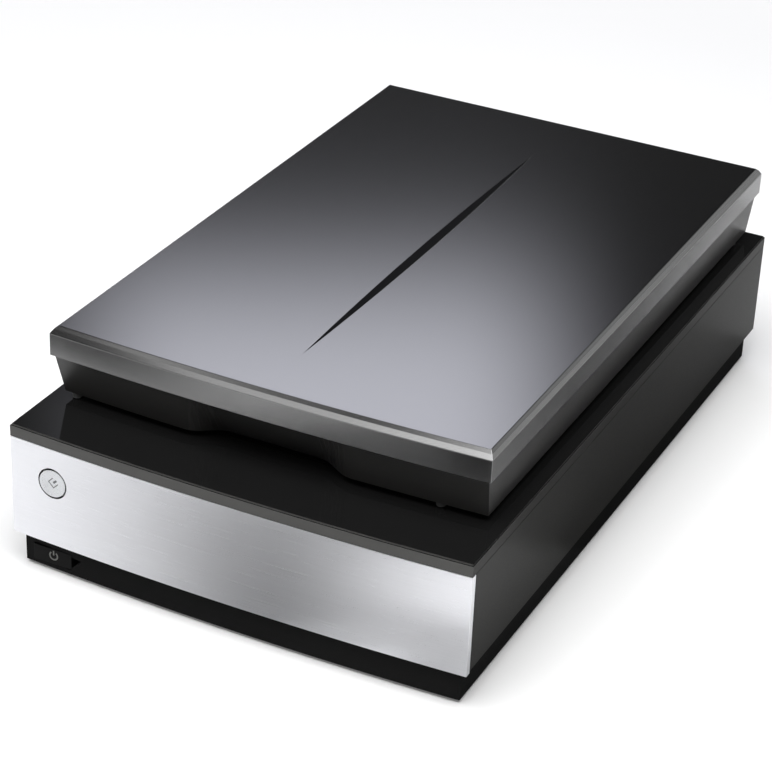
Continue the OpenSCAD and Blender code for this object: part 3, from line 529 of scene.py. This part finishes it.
def camera():
    across, up = CAMERA_AZIMUTH, CAMERA_ELEVATION
    back = Vector((math.sin(across) * math.cos(up), -math.cos(across) * math.cos(up), math.sin(up)))
    lens = bpy.data.cameras.new("camera")
    lens.lens = CAMERA_LENS
    lens.sensor_width = 36
    lens.clip_start = 0.05
    eye = put_in_scene("camera", lens)
    turn = back.to_track_quat("Z", "Y").to_matrix().to_4x4() @ Matrix.Rotation(CAMERA_ROLL, 4, "Z")
    eye.matrix_world = Matrix.Translation(CAMERA_TARGET + back * CAMERA_DISTANCE) @ turn
    bpy.context.scene.camera = eye


# ---------------------------------------------------------------- studio

FLOOR_RADIUS = 9
WALL_HEIGHT = 2.4
SHEET_WHITE = (0.93, 0.93, 0.93)
WHITE_REACH = (0.8, 2.2)  # the sheet's own light rises between these distances
OBJECT_MIDDLE = (0, 0, 0.15)


def polar(azimuth, elevation, distance):
    """A place seen from the object at an angle left of the rear and above the floor."""
    az, el = math.radians(azimuth), math.radians(elevation)
    way = Vector((-math.sin(az) * math.cos(el), math.cos(az) * math.cos(el), math.sin(el)))
    return Vector((0, 0, 0.1)) + way * distance


def box_lamp(name, place, target, width, height, power, color=(1, 1, 1)):
    light = bpy.data.lights.new(name, "AREA")
    light.shape = "RECTANGLE"
    light.size = width
    light.size_y = height
    light.energy = power
    light.color = color
    lamp = put_in_scene(name, light)
    lamp.location = place
    lamp.rotation_euler = (Vector(target) - Vector(place)).to_track_quat("-Z", "Y").to_euler()
    lamp.visible_camera = False
    return lamp


def feather(lamp, side, low):
    """Fades a softbox's light towards its sides and its lower edge, by shares of its width
    and height."""
    lamp.data.use_nodes = True
    t = NodeTree(lamp.data.node_tree)
    place = t.split(t.node("ShaderNodeNewGeometry").outputs["Parametric"])
    across, up = place["X"], place["Y"]
    sides = t.math("MULTIPLY", t.fade(across, 0, side), t.fade(t.math("SUBTRACT", 1.0, across), 0, side))
    strength = t.math("MULTIPLY", sides, t.fade(up, 0, low))
    t.join(strength, t.tree.nodes["Emission"].inputs["Strength"])


def floor():
    """A wide white sheet with a low white wall far round it, dimmer in mirrors."""
    bm = bmesh.new()
    bmesh.ops.create_circle(bm, cap_ends=True, segments=64, radius=FLOOR_RADIUS)
    rim = bmesh.ops.extrude_edge_only(bm, edges=[e for e in bm.edges if e.is_boundary])
    raised = [v for v in rim["geom"] if isinstance(v, bmesh.types.BMVert)]
    bmesh.ops.translate(bm, verts=raised, vec=(0, 0, WALL_HEIGHT))
    for face in bm.faces:
        face.material_index = int(face.calc_center_median().z > 1)
    sheet = Finish("floor_white", SHEET_WHITE, 0.9, shine=0.0)
    sheet.vary_color(sheet.noise(2), 0.995, 1.0)
    sheet.show_white(0.1, 1.0, *WHITE_REACH)
    wall = Finish("wall_white", SHEET_WHITE, 0.9, shine=0.0)
    wall.show_white(1.0, 1.0, *WHITE_REACH, mirrored=0.4)
    mesh_object("floor", bm, sheet.material, wall.material)


def flag_cloth(name, half_width, depth):
    """Black cloth in the middle that fades to clear at the sides."""
    material = bpy.data.materials.new(name)
    material.use_nodes = True
    t = NodeTree(material.node_tree)
    t.tree.nodes.clear()
    coords = t.node("ShaderNodeTexCoord")
    away = t.math("ABSOLUTE", t.split(coords.outputs["Object"])["X"])
    cloth = t.node("ShaderNodeBsdfDiffuse")
    cloth.inputs["Color"].default_value = (0.01, 0.01, 0.01, 1)
    mix = t.node("ShaderNodeMixShader")
    t.join(t.fade(away, 0, half_width, depth, 0), mix.inputs["Fac"])
    t.join(t.node("ShaderNodeBsdfTransparent").outputs["BSDF"], mix.inputs[1])
    t.join(cloth.outputs["BSDF"], mix.inputs[2])
    t.join(mix.outputs["Shader"], t.node("ShaderNodeOutputMaterial").inputs["Surface"])
    return material


def flag(name, corner, azimuth, length, half_width, depth, height):
    """A soft-edged dark strip that only reflections see, as a studio flag stands in them. It
    starts at the corner, runs at an angle from the rear, and lies at a height of its own."""
    bm = bmesh.new()
    bmesh.ops.create_grid(bm, x_segments=1, y_segments=1, size=0.5)
    bmesh.ops.scale(bm, vec=(2 * half_width, length, 1), verts=bm.verts)
    bmesh.ops.translate(bm, vec=(0, length / 2, 0), verts=bm.verts)
    strip = mesh_object(name, bm, flag_cloth(name, half_width, depth))
    turn = Matrix.Rotation(-math.radians(azimuth), 4, "Z")
    strip.matrix_world = Matrix.Translation((*corner, height)) @ turn
    for ray in ("camera", "diffuse", "transmission", "volume_scatter", "shadow"):
        setattr(strip, "visible_" + ray, False)


def studio():
    scene = bpy.context.scene
    scene.view_settings.view_transform = "Standard"
    scene.world = bpy.data.worlds.new("studio")
    scene.world.use_nodes = True
    sky = scene.world.node_tree.nodes["Background"].inputs
    sky["Color"].default_value = (1, 1, 1, 1)
    sky["Strength"].default_value = 0.04
    floor()
    # above and in front: lights the floor, the panel and the lid's front
    box_lamp("top_softbox", (0.25, -0.8, 2.5), (0, 0, 0), 2.4, 2.0, 84)
    # behind on the left: its lower edge shows as the bright front half of the lid
    rear = box_lamp("rear_softbox", polar(29.3, 44.6, 2.2), OBJECT_MIDDLE, 1.0, 1.5, 10.4, (0.96, 0.97, 1.08))
    feather(rear, 0.3, 0.19)
    # in front on the left: shows in the chamfer along the lid's front
    box_lamp("front_fill", polar(136, 57, 2.3), OBJECT_MIDDLE, 1.0, 0.8, 4)
    # behind on the right, low and dim: shows in the chamfer along the lid's right side
    box_lamp("right_glow", polar(-32, 17, 2.5), OBJECT_MIDDLE, 1.4, 1.0, 2.6)
    # far in front and dim: shows in the lid when it is seen from behind
    box_lamp("front_glow", (0, -3.4, 2.1), (0, 0, 0.1), 3.2, 1.6, 14)
    # flags on the floor that darken the middle of the panel and the ends of the lid's front
    flag("panel_flag", (0.04, -0.26), 208.7, 0.2, 0.12, 0.7, 0.0006)
    flag("panel_flag_wide", (-0.02, -0.26), 208.7, 0.2, 0.2, 0.45, 0.0008)
    flag("panel_corner_flag", (0.13, -0.255), 180, 0.08, 0.09, 0.6, 0.0014)
    flag("lid_flag_right", (0.075, -0.405), 180, 0.11, 0.15, 1.0, 0.0010)
    flag("lid_flag_left", (-0.30, -0.405), 180, 0.11, 0.2, 0.9, 0.0012)
    # flags on the floor that darken the sides
    flag("side_flag", (0.16, -0.06), 19.6, 0.8, 0.15, 0.75, 0.0006)
    flag("side_edge_flag", (0.154, -0.25), 0, 0.52, 0.07, 0.75, 0.0008)
    flag("lid_side_flag", (0.29, -0.05), 0, 0.55, 0.09, 0.6, 0.0010)
    # flags overhead that keep the lid's upper chamfer dark and its corner from glaring
    flag("chamfer_flag", (-0.45, -0.6), 0, 0.8, 0.6, 1.0, 1.5)
    flag("softbox_edge_flag", (-0.62, -1.6), 0, 0.8, 0.42, 0.85, 2.15)


camera()
studio()
